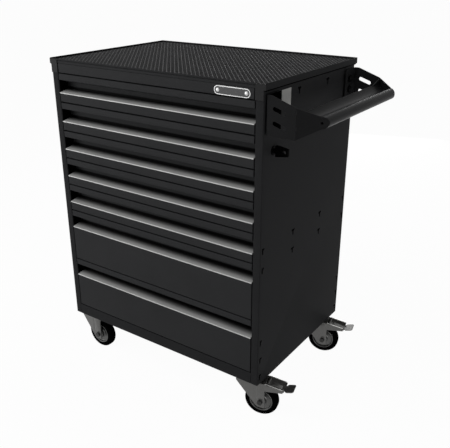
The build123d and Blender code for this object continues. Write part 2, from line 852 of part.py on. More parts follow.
def fork(brake):
    """Castor fork about its swivel axis: crown, two bent legs, axle with its nuts, and arms for a pedal."""
    bend = math.radians(fork_bend)
    lead_len = fork_lead + fork_crease
    lead_half = fork_half - lead_len * math.sin(bend)
    toe_x = trail - fork_toe
    heel_x = trail + fork_heel
    lead_x = fork_crease - lead_len
    main = [
        (fork_crease, crown_low),
        (heel_x, crown_low),
        (heel_x, axle_z - fork_toe),
        (trail - fork_toe / 2, axle_z - fork_toe),
        (toe_x, axle_z - fork_toe / 2),
    ]
    lead_low = crown_low - fork_lead_h
    share = (fork_crease - lead_x) / (toe_x - lead_x)
    crease_low = lead_low + (axle_z - fork_toe / 2 - lead_low) * share
    main.append((fork_crease, crease_low))
    lead = [(lead_x, crown_low), (fork_crease, crown_low), (fork_crease, crease_low), (lead_x, lead_low)]
    body = prism_z(
        [
            (heel_x, -fork_half),
            (heel_x, fork_half),
            (fork_crease, fork_half),
            (fork_crease - lead_len * math.cos(bend), lead_half),
            (fork_crease - lead_len * math.cos(bend), -lead_half),
            (fork_crease, -fork_half),
        ],
        crown_low,
        crown_z,
    )
    leg = prism_y(main, -fork_half, fork_t - fork_half)
    flap = prism_y(lead, -fork_half, fork_t - fork_half)
    hinge = Axis((fork_crease, -fork_half, 0), (0, 0, 1))
    leg += flap.rotate(hinge, -fork_bend)
    if brake:
        leg += prism_y(arm_outline(heel_x - fork_t), -fork_half, -pedal_half - hub_gap)
    body += leg + mirror(leg, about=Plane.XZ)
    body -= rod_z(king_r + bearing_play, 0, 0, crown_low, crown_z)
    axle = rod_y(axle_r, trail, -fork_half - nut_h, fork_half + nut_h, axle_z)
    nut = [(trail + a, axle_z + b) for a, b in hexagon(nut_r)]
    for y0 in (-fork_half - nut_h, fork_half):
        axle += prism_y(nut, y0, y0 + nut_h)
    body -= rod_y(axle_r, trail, -2 * fork_half, 2 * fork_half, axle_z)
    if not brake:
        return [body, axle]
    body -= rod_y(pedal_pin_r, pedal_pivot, -2 * fork_half, 2 * fork_half, pedal_pin_z)
    pin_half = fork_half + pedal_t
    return [body, axle, rod_y(pedal_pin_r, pedal_pivot, -pin_half, pin_half, pedal_pin_z)]


def pedal():
    """Brake pedal about the swivel axis: a drooping channel, a flared tip and the shoe above the tyre."""
    low = pedal_floor_z
    body = block(pedal_start, pedal_end, -pedal_half, pedal_half, low, low + pedal_t)
    for side in (-pedal_half, pedal_half):
        wall_y = side - math.copysign(pedal_t, side)
        body += block(pedal_start, pedal_end, side, wall_y, low, -pedal_top)
    tip_x = pedal_end + tip_len
    tip_top = tip_rise - pedal_top
    tip = [
        (pedal_end - pedal_t, low),
        (pedal_end, low),
        (tip_x, tip_top - pedal_t),
        (tip_x, tip_top),
        (tip_x - pedal_t, tip_top),
        (pedal_end - pedal_t, low + pedal_t),
    ]
    upper = [
        (pedal_end - pedal_t, tip_neck_half),
        (pedal_end, tip_neck_half),
        (pedal_end + tip_flare, tip_half),
        (tip_x - tip_cut, tip_half),
        (tip_x, tip_half - tip_cut),
    ]
    lower = [(x, -y) for x, y in reversed(upper)]
    body += prism_y(tip, -tip_half, tip_half) & prism_z(upper + lower, low, tip_top)
    shoe_half = wheel_w / 2 - pedal_t
    body += block(shoe_x, shoe_x + shoe_w, -shoe_half, shoe_half, shoe_low, low)
    body -= rod_y(pedal_pin_r + lock_play, pedal_pivot, -2 * pedal_half, 2 * pedal_half, pedal_pin_z)
    pin = Axis((pedal_pivot, 0, pedal_pin_z), (0, 1, 0))
    return body.rotate(pin, pedal_droop_deg)


def wheel():
    """Steel wheel disc with its hub and rim band, and the rubber tyre, about the swivel axis."""
    half = wheel_w / 2
    hub_half = fork_half - fork_t - hub_gap
    rim_r = wheel_r - tyre_depth
    disc = rod_y(rim_r, trail, -half, half, axle_z)
    for side in (-1, 1):
        inner = side * (half - rim_dish)
        disc -= rod_y(rim_r - rim_band_t, trail, inner, side * half, axle_z)
    disc += rod_y(hub_r, trail, -hub_half, hub_half, axle_z)
    disc -= rod_y(axle_r + bearing_play, trail, -2 * half, 2 * half, axle_z)
    tyre = rod_y(wheel_r, trail, -half, half, axle_z)
    rims = [edge for edge in tyre.edges() if edge.geom_type == GeomType.CIRCLE]
    tyre = fillet(rims, tyre_round)
    tyre -= rod_y(rim_r, trail, -half, half, axle_z)
    return disc, tyre


def castors():
    """Four castors: fork, wheel, tyre, and a pedal on those with a brake."""
    disc, tyre = wheel()
    for name, (x, y) in castor_places().items():
        brake = x > 0
        place = Pos(x, y, 0) * Rot(0, 0, braked_turn_deg * brake)
        save("castor_fork_" + name, [place * piece for piece in fork(brake)])
        save("castor_wheel_" + name, [place * disc])
        save("castor_tyre_" + name, [place * tyre])
        if brake:
            save("brake_pedal_" + name, [place * pedal()])


os.makedirs("parts", exist_ok=True)
side_panels()
base_and_back()
fascia()
lid()
corner_caps()
uprights()
drawers()
handle()
lock_housing()
lock_core()
key_bow()
lock_bar()
castor_plates()
castors()
print("measuring frame's zero is at", -mid_x, -mid_y, castor_h)
print("drawer rows", row_tops())
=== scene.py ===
# %% [markdown]
# # Dressing a drawer tool cabinet
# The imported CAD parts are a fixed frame. Every piece made here sits exactly where a CAD part sits, and
# moves with the same body, so a drawer that slides in the physics model slides here too. Each step first
# says what the piece is on the real cabinet, and then why it is made the way it is.

# %% Load the frame
import math

import bmesh
import bpy
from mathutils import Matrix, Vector


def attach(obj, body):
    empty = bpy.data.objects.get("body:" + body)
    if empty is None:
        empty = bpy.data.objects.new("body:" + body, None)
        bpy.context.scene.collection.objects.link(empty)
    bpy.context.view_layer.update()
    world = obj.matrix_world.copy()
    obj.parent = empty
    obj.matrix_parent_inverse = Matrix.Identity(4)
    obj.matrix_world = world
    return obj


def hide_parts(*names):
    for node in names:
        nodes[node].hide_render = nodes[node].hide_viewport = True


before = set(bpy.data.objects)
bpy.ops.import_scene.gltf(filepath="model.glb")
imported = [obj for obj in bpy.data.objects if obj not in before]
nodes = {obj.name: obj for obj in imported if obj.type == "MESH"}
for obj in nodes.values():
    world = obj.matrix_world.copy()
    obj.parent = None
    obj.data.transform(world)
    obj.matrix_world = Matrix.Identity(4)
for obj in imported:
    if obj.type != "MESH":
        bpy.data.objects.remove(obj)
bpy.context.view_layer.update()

# %% [markdown]
# ## Working in the maker's millimetres
# A sheet-metal drawing counts from the cabinet's lower front edge: x to the right, y to the back and z up.
# The scene counts in metres from the floor under the middle of the whole object, handle and castors included.
# One small function turns the first into the second and another turns it back, so every size below can be read
# as it stands on the drawing.

# %% Sizes on the drawing
half_w = 360.0
cab_d = 500.0
sheet_t = 1.5
open_half = 337.4
post_d = 35.0
drawers_top = 798.7
row_h = 84.8
rows = [1, 1, 1, 1, 1, 2, 2]
fascia_top = 826.2
lid_under = 830.5
mat_top = 835.0
rim_top = 840.0
lock_y, lock_z = 50.0, 670.0
middle_x, middle_y, castor_h = 70.35, 251.7, 125.0


def put(x, y, z):
    """A point of the drawing, in the scene's metres."""
    return Vector(((x - middle_x) / 1000, (y - middle_y) / 1000, (z + castor_h) / 1000))


def drawn(point):
    """A point of the scene, in the drawing's millimetres."""
    return (point - put(0, 0, 0)) * 1000


def linked(name, data):
    """A mesh, lamp or camera as an object in the scene."""
    made = bpy.data.objects.new(name, data)
    bpy.context.collection.objects.link(made)
    return made


print("top of the rim is at", round(put(0, 0, rim_top).z, 4), "m")

# %% [markdown]
# ## Small tools for sheet metal
# A folded sheet is an outline pushed along a line. The fold itself is never sharp: the sheet bends round a
# small radius, and that arc is what catches the light along every edge of a cabinet. A bevel could round both
# sides of a sharp fold alike, but on a real bend the outer radius is larger by the sheet's thickness. So the
# outline is made from a path, its corners are turned into arcs, and the thickness is added to one side.


# %% Paths with rounded corners
nearly_straight = 1.56


def rounded(path, radius, steps=4, closed=False):
    """A path with an arc in place of each corner, of a radius that is cut where a side is too short for it."""
    path = [Vector(point) for point in path]
    points = []
    for i, corner in enumerate(path):
        if not closed and i in (0, len(path) - 1):
            points.append(corner)
            continue
        back = path[i - 1] - corner
        ahead = path[(i + 1) % len(path)] - corner
        half = back.angle(ahead) / 2
        if half > nearly_straight:
            points.append(corner)
            continue
        reach = min(radius / math.tan(half), 0.45 * back.length, 0.45 * ahead.length)
        start = corner + back.normalized() * reach
        end = corner + ahead.normalized() * reach
        for step in range(steps + 1):
            share = step / steps
            points.append(start.lerp(corner, share).lerp(corner.lerp(end, share), share))
    return [tuple(point) for point in points]


print("a right-angled fold has", len(rounded([(0, 0), (9, 0), (9, 9)], 2)) - 2, "points")


# %% Outline of a folded sheet
def folded(path, thick, radius):
    """Closed outline of a sheet, thick to the left of its path, with its folds rounded."""
    path = rounded(path, radius)
    normals = []
    for (a0, b0), (a1, b1) in zip(path, path[1:]):
        length = math.hypot(a1 - a0, b1 - b0)
        normals.append((-(b1 - b0) / length, (a1 - a0) / length))
    inner = []
    for i, (a, b) in enumerate(path):
        na, nb = normals[max(i - 1, 0)]
        ma, mb = normals[min(i, len(normals) - 1)]
        scale = thick / (1 + na * ma + nb * mb)
        inner.append((a + (na + ma) * scale, b + (nb + mb) * scale))
    return path + inner[::-1]


print("the outline of a sheet with one fold has", len(folded([(0, 0), (9, 0), (9, 9)], 1, 2)), "points")


# %% Solids from outlines
def prism(outline, axis, low, high):
    """Points and faces of an outline pushed along x, y or z."""
    place = {"x": lambda a, b, c: (c, a, b), "y": lambda a, b, c: (a, c, b), "z": lambda a, b, c: (a, b, c)}
    points = [place[axis](a, b, c) for c in (low, high) for a, b in outline]
    return points, walls(len(outline))


def walls(count):
    """Faces of a body whose two end outlines have the same number of points, listed one after the other."""
    sides = [(i, (i + 1) % count, count + (i + 1) % count, count + i) for i in range(count)]
    return [tuple(range(count)), tuple(range(count, 2 * count))] + sides


def slab(x0, x1, y0, y1, z0, z1):
    """Points and faces of a box."""
    return prism([(x0, y0), (x1, y0), (x1, y1), (x0, y1)], "z", z0, z1)


print("a box has", len(slab(0, 1, 0, 1, 0, 1)[1]), "faces")


# %% Turned solids
def turned(profile, centre, steps=72):
    """Points and faces of a closed profile of (radius, place along y) turned round an axle along y."""
    points = []
    for step in range(steps):
        angle = 2 * math.pi * step / steps
        for radius, along in profile:
            offset = (radius * math.cos(angle), along, radius * math.sin(angle))
            points.append(tuple(c + o for c, o in zip(centre, offset)))
    count = len(profile)
    faces = []
    for step in range(steps):
        after = (step + 1) % steps
        for i in range(count):
            j = (i + 1) % count
            faces.append((step * count + i, step * count + j, after * count + j, after * count + i))
    return points, faces


print("a ring turned from a triangle has", len(turned([(1, 0), (2, 0), (2, 1)], (0, 0, 0))[1]), "faces")


# %% Pieces
def joined(*parts):
    """Several point and face lists as one."""
    points, faces = [], []
    for more_points, more_faces in parts:
        start = len(points)
        points += more_points
        faces += [tuple(start + i for i in face) for face in more_faces]
    return points, faces


same_place = 1e-6


def piece(name, parts):
    """A new object with its faces pointing outwards, from points in the drawing's millimetres."""
    points, faces = joined(*parts)
    data = bpy.data.meshes.new(name)
    data.from_pydata([put(*point) for point in points], [], faces)
    shell = bmesh.new()
    shell.from_mesh(data)
    bmesh.ops.remove_doubles(shell, verts=shell.verts, dist=same_place)
    bmesh.ops.recalc_face_normals(shell, faces=shell.faces)
    shell.to_mesh(data)
    shell.free()
    return linked(name, data)


print("points closer than", round(same_place * 1000, 4), "mm become one")

# %% [markdown]
# ## Two ways to dress a CAD part
# Where the CAD shape is right, a copy of it is enough: its loose triangles are merged, flat ones are joined,
# and a narrow bevel rounds its edges. Where the fold radius or a finer form matters, a new mesh is built.
# Both end in the same step, which rounds the edges, gives the finish, and lets the piece ride on its body.
# Some pieces then get a second finish on a few faces, such as the nuts on a fork.


# %% Merge a CAD part's triangles
flat_enough = math.radians(1.0)


def merged(name, *names):
    """A copy of CAD nodes as one clean mesh."""
    shell = bmesh.new()
    for node in names:
        shell.from_mesh(nodes[node].data)
    bmesh.ops.remove_doubles(shell, verts=shell.verts, dist=same_place)
    bmesh.ops.dissolve_limit(
        shell, angle_limit=flat_enough, verts=shell.verts, edges=shell.edges, use_dissolve_boundaries=False
    )
    data = bpy.data.meshes.new(name)
    shell.to_mesh(data)
    shell.free()
    return linked(name, data)


print("triangles that lie flat within", round(math.degrees(flat_enough)), "degree become one face")

# %% Round the edges, finish and mount
sharp_from = math.radians(32)


def dress(made, finish, body, stands_for=(), edge=0.4):
    """Rounds a piece's edges by a bevel in millimetres, gives it a finish and puts it on a body.

    Without a finish, the piece keeps the ones that its mesh has."""
    if finish:
        made.data.materials.clear()
        made.data.materials.append(finish)
    made.data.polygons.foreach_set("use_smooth", [True] * len(made.data.polygons))
    made.data.set_sharp_from_angle(angle=sharp_from)
    if edge:
        bevel = made.modifiers.new("rounded edges", "BEVEL")
        bevel.width = edge / 1000
        bevel.segments = 2
        bevel.limit_method = "ANGLE"
        bevel.angle_limit = sharp_from
        bevel.harden_normals = True
    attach(made, body)
    if stands_for:
        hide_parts(*stands_for)
    return made


print("edges of more than", round(math.degrees(sharp_from)), "degrees are rounded")


# %% A second finish on some faces
def second_finish(made, finish, chosen):
    """Gives a second finish to the faces whose middle, in the drawing's millimetres, passes a test."""
    made.data.materials.append(finish)
    last = len(made.data.materials) - 1
    picked = [face for face in made.data.polygons if chosen(*drawn(face.center))]
    for face in picked:
        face.material_index = last
    return len(picked)


def shade_outside(made):
    """Paints black shade on the faces next to a side panel, which hardly any light reaches through the slots.
    """
    reach = max(abs(drawn(corner.co).x) for corner in made.data.vertices)
    return second_finish(made, shade_black, lambda x, y, z: abs(x) > reach - sheet_t)


# %% [markdown]
# ## Finishes: the shared effects
# Powder coat, rubber and zinc differ in colour and gloss, but share two effects: a fine relief, and slow
# changes over the surface where it was handled or where the coat is thicker. Each finish could have its own
# copy of these nodes, but then a change would have to be made in all of them. So each effect is a node group
# with its own sizes, and one group serves every finish. Brushed metal needs a third one, with long streaks, and
# deep folds a fourth, the painted shade, which says how much light is left in them.


# %% Node helpers
def add(tree, kind, settings=None, **inputs):
    """A shader node with its settings, and each input set to a value or linked to a socket."""
    made = tree.nodes.new(kind)
    for key, value in (settings or {}).items():
        setattr(made, key, value)
    for key, value in inputs.items():
        numbered = key[0] == "i" and key[1:].isdigit()
        socket = made.inputs[int(key[1:]) if numbered else key.replace("_", " ")]
        if isinstance(value, bpy.types.NodeSocket):
            tree.links.new(value, socket)
        else:
            socket.default_value = value
    return made


def new_group(name, inputs, outputs):
    """An empty node group with named number inputs and outputs."""
    group = bpy.data.node_groups.new(name, "ShaderNodeTree")
    for title, value in inputs.items():
        socket = group.interface.new_socket(title, in_out="INPUT", socket_type="NodeSocketFloat")
        socket.default_value = value
    for title in outputs:
        group.interface.new_socket(title, in_out="OUTPUT", socket_type="NodeSocketFloat")
    return group, group.nodes.new("NodeGroupInput").outputs, group.nodes.new("NodeGroupOutput").inputs


print("an input of a node is set by its name, or by i and its number")

# %% Fine relief
relief, given, result = new_group("fine relief", {"Grain per metre": 1200.0, "Roundness": 2.0}, ["Height"])
where = add(relief, "ShaderNodeTexCoord").outputs["Object"]
noise = add(
    relief, "ShaderNodeTexNoise", Vector=where, Scale=given["Grain per metre"], Detail=given["Roundness"]
)
cells = add(relief, "ShaderNodeTexVoronoi", Vector=where, Scale=given["Grain per metre"])
mixed = add(relief, "ShaderNodeMath", {"operation": "MULTIPLY_ADD"}, i0=cells.outputs["Distance"], i1=0.4)
relief.links.new(noise.outputs["Fac"], mixed.inputs[2])
relief.links.new(mixed.outputs[0], result["Height"])
print("group", relief.name)

# %% Slow changes
handled, given, result = new_group(
    "handled surface", {"Patches per metre": 9.0, "Low": 0.4, "High": 0.6}, ["Amount"]
)
where = add(handled, "ShaderNodeTexCoord").outputs["Object"]
noise = add(
    handled, "ShaderNodeTexNoise", Vector=where, Scale=given["Patches per metre"], Detail=5.0, Roughness=0.6
)
span = add(
    handled, "ShaderNodeMapRange", Value=noise.outputs["Fac"], From_Min=0.3, From_Max=0.7,
    To_Min=given["Low"], To_Max=given["High"],
)
handled.links.new(span.outputs["Result"], result["Amount"])
print("group", handled.name)

# %% Brush streaks
brushed, given, result = new_group(
    "brush streaks", {"Streaks per metre": 2500.0, "Stretch": 0.02}, ["Streak"]
)
where = add(brushed, "ShaderNodeTexCoord").outputs["Object"]
stretch = add(brushed, "ShaderNodeCombineXYZ", X=given["Stretch"], Y=1.0, Z=1.0)
along = add(
    brushed, "ShaderNodeVectorMath", {"operation": "MULTIPLY"}, i0=where, i1=stretch.outputs["Vector"]
)
noise = add(
    brushed, "ShaderNodeTexNoise", Vector=along.outputs["Vector"], Scale=given["Streaks per metre"], Detail=2.0
)
brushed.links.new(noise.outputs["Fac"], result["Streak"])
print("group", brushed.name)

# %% Painted shade in creases
crease_shade, given, result = new_group("crease shade", {"Least light": 0.01}, ["Light"])
deep = add(crease_shade, "ShaderNodeAttribute", {"attribute_name": "crease"})
fade = add(
    crease_shade, "ShaderNodeMapRange", {"interpolation_type": "SMOOTHSTEP"}, Value=deep.outputs["Fac"],
    To_Min=1.0, To_Max=given["Least light"],
)
crease_shade.links.new(fade.outputs["Result"], result["Light"])
print("group", crease_shade.name)


# %% [markdown]
# ## Finishes: one for each surface
# The cabinet is powder coated in charcoal: nearly black, with soft broad reflections and a faint orange-peel
# relief. The grips are satin aluminium, the castors zinc-plated steel, the tyres solid rubber. A finish is a
# Principled shader whose colour and roughness follow the groups above, and whose bump follows the relief.
#
# Deep folds look darker than open faces, because little light finds its way in. Lamps alone show this too
# weakly on dark paint. So the mesh stores as an attribute how deep each point lies in a crease, and a finish
# fades its colour by it: painted shade. Punched edges get black painted shade of their own for the same reason.


# %% A finish
colour_a, colour_b, colour_out = 6, 7, 2


def finish(
    name, colour, rough, shine=0.5, spread=0.04, metal=0.0, grain=1200.0, depth=0.02, tint=0.06, patches=9.0
):
    """A material: colour and roughness vary slowly, and a fine relief breaks up its reflections."""
    made = bpy.data.materials.new(name)
    made.use_nodes = True
    tree = made.node_tree
    shader = tree.nodes["Principled BSDF"]
    shader.inputs["Metallic"].default_value = metal
    shader.inputs["Specular IOR Level"].default_value = shine
    slow = add(tree, "ShaderNodeGroup", {"node_tree": handled}, Patches_per_metre=patches, Low=0.0, High=1.0)
    dark = [c * (1 - tint) for c in colour]
    light = [c * (1 + tint) for c in colour]
    ramp = add(tree, "ShaderNodeMix", {"data_type": "RGBA"}, Factor=slow.outputs["Amount"])
    ramp.inputs[colour_a].default_value = (*dark, 1)
    ramp.inputs[colour_b].default_value = (*light, 1)
    gloss = add(
        tree, "ShaderNodeMapRange", Value=slow.outputs["Amount"], To_Min=rough - spread, To_Max=rough + spread
    )
    fine = add(tree, "ShaderNodeGroup", {"node_tree": relief}, Grain_per_metre=grain)
    bump = add(tree, "ShaderNodeBump", Height=fine.outputs["Height"], Distance=depth / 1000, Strength=1.0)
    tree.links.new(ramp.outputs[colour_out], shader.inputs["Base Color"])
    tree.links.new(gloss.outputs["Result"], shader.inputs["Roughness"])
    tree.links.new(bump.outputs["Normal"], shader.inputs["Normal"])
    return made


print("a mix node keeps its colours in sockets", colour_a, "and", colour_b)


# %% Streaks and creases
def streaked(made, strength):
    """Adds brush streaks to a metal finish's roughness."""
    tree = made.node_tree
    shader = tree.nodes["Principled BSDF"]
    lines = add(tree, "ShaderNodeGroup", {"node_tree": brushed})
    before = shader.inputs["Roughness"].links[0].from_socket
    more = add(
        tree, "ShaderNodeMath", {"operation": "MULTIPLY_ADD"}, i0=lines.outputs["Streak"], i1=strength,
        i2=before,
    )
    tree.links.new(more.outputs[0], shader.inputs["Roughness"])
    return made


def creased(made):
    """Paints shade into a finish: its colour fades to black where a mesh says that it lies in a crease."""
    tree = made.node_tree
    shader = tree.nodes["Principled BSDF"]
    light = add(tree, "ShaderNodeGroup", {"node_tree": crease_shade}, Least_light=0.01)
    before = shader.inputs["Base Color"].links[0].from_socket
    scaled = add(
        tree, "ShaderNodeVectorMath", {"operation": "SCALE"}, i0=before, Scale=light.outputs["Light"]
    )
    tree.links.new(scaled.outputs[0], shader.inputs["Base Color"])
    return made


def store_crease(made, how_deep):
    """Stores on each point of a piece how deep in a crease it lies, from 0 in the open to 1."""
    depth = made.data.attributes.new("crease", "FLOAT", "POINT")
    for point, stored in zip(made.data.vertices, depth.data):
        place = drawn(point.co)
        stored.value = min(max(how_deep(place.y, place.z), 0.0), 1.0)


print("finishes can be streaked and creased")

# %% Coats, plastic and rubber
body_paint = finish("charcoal powder coat", (0.0185, 0.0187, 0.0195), 0.5, shine=0.012)
# Painted shade: the front coat fades to black in the recess's crease.
front_paint = creased(finish("charcoal front coat", (0.026, 0.0263, 0.0273), 0.48, shine=0.015))
# The brackets and the grip wear the cabinet's charcoal coat; their darker copies of it are painted shade.
shaded_bracket_paint = finish("shaded bracket coat", (0.013, 0.0131, 0.0136), 0.45, shine=0.012)
shaded_grip_paint = finish("shaded grip coat", (0.0105, 0.0107, 0.0112), 0.3, shine=0.025)
drawer_paint = finish("charcoal drawer coat", (0.018, 0.0183, 0.019), 0.5, shine=0.1)
cap_plastic = finish("corner cap plastic", (0.013, 0.013, 0.0135), 0.5, shine=0.08, grain=2500.0)
# Black painted shade for slot and hole walls, the posts' inner faces and other faces that hardly any light
# reaches.
shade_black = finish("black painted shade", (0.001, 0.001, 0.001), 0.9, shine=0.0)
mat_rubber = finish("mat rubber", (0.003, 0.003, 0.0031), 0.75, shine=0.01, grain=1800.0, depth=0.04)
# The ribs are the mat's own rubber, painted much lighter: a painted highlight on their tops.
lit_rib_rubber = finish("lit mat rib rubber", (0.1, 0.1, 0.102), 0.6, shine=0.02, grain=2500.0)
tyre_rubber = finish("tyre rubber", (0.0016, 0.0016, 0.0017), 0.7, shine=0.0, grain=900.0, depth=0.05)
key_plastic = finish("key plastic", (0.0012, 0.0012, 0.0013), 0.5, shine=0.005, grain=3000.0)
foam = finish("drawer liner foam", (0.012, 0.012, 0.0125), 0.9, shine=0.1, grain=1500.0, depth=0.2)
label_film = finish("label film", (0.33, 0.33, 0.32), 0.5, shine=0.2, depth=0.004)
print("coats such as", body_paint.name, "and", cap_plastic.name)

# %% Metals
zinc = finish(
    "zinc plate", (0.105, 0.104, 0.101), 0.34, spread=0.08, metal=0.75, grain=700.0, depth=0.03, patches=30.0
)
# The arms' rolled edges are zinc painted near white: a painted highlight.
highlight_zinc = finish("zinc with painted highlight", (0.75, 0.75, 0.73), 0.25, metal=1.0, grain=700.0, patches=30.0)
slide_steel = streaked(finish("slide steel", (0.3, 0.3, 0.29), 0.34, metal=1.0, patches=20.0), 0.15)
wheel_steel = finish(
    "wheel steel", (0.085, 0.085, 0.083), 0.36, spread=0.1, metal=0.75, grain=500.0, depth=0.03
)
dark_steel = finish("blackened steel", (0.0015, 0.0015, 0.0016), 0.45, shine=0.01, patches=40.0)
nut_steel = finish("nut steel", (0.03, 0.03, 0.0295), 0.35, shine=0.3, metal=0.6, patches=40.0)
aluminium = finish(
    "satin aluminium", (0.42, 0.42, 0.414), 0.45, shine=0.1, metal=0.3, depth=0.003, tint=0.04
)
# Painted shade: the grip's aluminium fades to black towards the crease.
aluminium = creased(streaked(aluminium, 0.05))
badge_metal = finish("badge metal", (0.42, 0.42, 0.42), 0.35, metal=0.7, depth=0.01)
badge_face = finish("badge face", (0.05, 0.05, 0.051), 0.45, metal=0.3, shine=0.2, depth=0.01)
print("metals such as", zinc.name, "and", aluminium.name)

# %% [markdown]
# ## Side panels and their hanging slots
# Each side is one sheet, folded twice at the front into a post and once at the back. T-shaped slots for hooks
# are punched through it in four columns. They could be dark marks on the paint, but only a real hole shows the
# sheet's thickness when it is seen from the side. The slots repeat, so Geometry Nodes place one punch at each
# point: the punch's sizes are inputs of the tree, and a boolean then takes a whole group of them out of the
# panel at once. The boolean hands the punch's black painted shade on to the cut's faces. In the columns at the
# folds a slot has only half an arm, so its arm is shorter and shifted. The posts' inner faces get the same
# black painted shade.


# %% Node tree helper for geometry
def geometry_tree(name, inputs):
    """A geometry node tree with a mesh input, named number inputs and a material input."""
    tree = bpy.data.node_groups.new(name, "GeometryNodeTree")
    tree.interface.new_socket("Geometry", in_out="INPUT", socket_type="NodeSocketGeometry")
    for title, value in inputs.items():
        tree.interface.new_socket(title, in_out="INPUT", socket_type="NodeSocketFloat").default_value = value
    tree.interface.new_socket("Finish", in_out="INPUT", socket_type="NodeSocketMaterial")
    tree.interface.new_socket("Geometry", in_out="OUTPUT", socket_type="NodeSocketGeometry")
    given = tree.nodes.new("NodeGroupInput").outputs
    return tree, given, tree.nodes.new("NodeGroupOutput").inputs


def close_tree(tree, given, result, instances):
    """Ends a geometry tree in real geometry with its finish."""
    real = add(tree, "GeometryNodeRealizeInstances", Geometry=instances)
    painted = add(tree, "GeometryNodeSetMaterial", Geometry=real.outputs[0], Material=given["Finish"])
    tree.links.new(painted.outputs[0], result["Geometry"])


print("a tree ends in real geometry with a finish")


# %% Run a tree on a mesh
def grown(name, source, tree, material, **sizes):
    """Runs a geometry tree on a mesh and returns the result as a plain object."""
    source_object = linked(name + "_source", source)
    modifier = source_object.modifiers.new("grow", "NODES")
    modifier.node_group = tree
    sockets = {item.name: item.identifier for item in tree.interface.items_tree if item.in_out == "INPUT"}
    for key, value in sizes.items():
        modifier[sockets[key.replace("_", " ")]] = float(value)
    modifier[sockets["Finish"]] = material
    graph = bpy.context.evaluated_depsgraph_get()
    data = bpy.data.meshes.new_from_object(source_object.evaluated_get(graph))
    bpy.data.objects.remove(source_object)
    return linked(name, data)


def scattered(points, edges=()):
    """A mesh of loose points, and of edges between them, from the drawing's millimetres."""
    data = bpy.data.meshes.new("places")
    data.from_pydata([put(*point) for point in points], list(edges), [])
    return data


print("a tree's result becomes a plain mesh")

# %% The punch for one T-shaped slot
punch, given, result = geometry_tree("slot punches", {
    "Slot width": 0.005, "Slot height": 0.0165, "Arm length": 0.0155, "Arm shift": 0.0, "Depth": 0.01,
})
half_height = add(punch, "ShaderNodeMath", {"operation": "MULTIPLY"}, i0=given["Slot height"], i1=-0.5)
half_width = add(punch, "ShaderNodeMath", {"operation": "MULTIPLY"}, i0=given["Slot width"], i1=-0.5)
union = punch.nodes.new("GeometryNodeMeshBoolean")
union.operation = "UNION"
union.solver = "EXACT"


def add_bar(length, height, **place):
    """Joins a bar of the T, as deep as the punch, to the union."""
    size = add(punch, "ShaderNodeCombineXYZ", X=given["Depth"], Y=given[length], Z=given[height])
    cube = add(punch, "GeometryNodeMeshCube", Size=size.outputs[0])
    spot = add(punch, "ShaderNodeCombineXYZ", **place)
    moved = add(punch, "GeometryNodeTransform", Geometry=cube.outputs[0], Translation=spot.outputs[0])
    punch.links.new(moved.outputs[0], union.inputs["Mesh 2"])


add_bar("Slot width", "Slot height", Z=half_height.outputs[0])
add_bar("Arm length", "Slot width", Y=given["Arm shift"], Z=half_width.outputs[0])
placed = add(punch, "GeometryNodeInstanceOnPoints", Points=given["Geometry"], Instance=union.outputs[0])
close_tree(punch, given, result, placed.outputs[0])
print("tree", punch.name)

# %% Take a cutter out of a panel
hole_corners = 32


def punched(panel, cutter):
    """Takes a cutter out of a panel and forgets the cutter."""
    cut = panel.modifiers.new("punch", "BOOLEAN")
    cut.object = cutter
    cut.operation = "DIFFERENCE"
    cut.solver = "EXACT"
    cut.material_mode = "TRANSFER"
    graph = bpy.context.evaluated_depsgraph_get()
    data = bpy.data.meshes.new_from_object(panel.evaluated_get(graph))
    panel.modifiers.clear()
    panel.data = data
    bpy.data.objects.remove(cutter)


def drilled(panel, y, z, radius):
    """Drills a round hole through a side panel, whose walls get black painted shade."""
    angles = [2 * math.pi * k / hole_corners for k in range(hole_corners)]
    ring = [(y + radius * math.cos(t), z + radius * math.sin(t)) for t in angles]
    drill = piece("drill", [prism(ring, "x", half_w - 5, half_w + 5)])
    drill.data.materials.append(shade_black)
    punched(panel, drill)


print("a round hole has", hole_corners, "corners")

# %% Places of the slots and holes
slot_w, slot_arm, slot_edge_y, slot_pitch = 5.0, 15.5, 11.5, 55.4
slot_first_z = 31.0
edge_rows, inner_rows = [0, 1, 2, 6, 7], [6, 7, 14]
column = (cab_d - 2 * slot_edge_y) / 3
lock_hole_r, bolt_hole_r = 9.7, 4.2
bolt_y, bolt_z = (44.5, cab_d - 44.5), (757.0, 787.0)
edge_z = [slot_first_z + row * slot_pitch for row in edge_rows]
inner_z = [slot_first_z + row * slot_pitch for row in inner_rows]
half_arm = slot_arm / 2 + slot_w / 2
to_middle = (slot_arm - slot_w) / 4


def slot_columns(wall_x):
    """The slots of a panel in groups of one shape: places, shift of the arm and its length."""
    return (
        ([(wall_x, slot_edge_y, z) for z in edge_z], to_middle, half_arm),
        ([(wall_x, cab_d - slot_edge_y, z) for z in edge_z], -to_middle, half_arm),
        ([(wall_x, slot_edge_y + column * i, z) for z in inner_z for i in (1, 2)], 0.0, slot_arm),
    )


def in_post(x, y, z):
    """Whether a point lies on the inner side of a post, which hardly any light reaches."""
    return abs(x) < open_half + 0.5 and 3.0 < y < 60.0


print([len(points) for points, shift, length in slot_columns(half_w)], "slots in a panel")

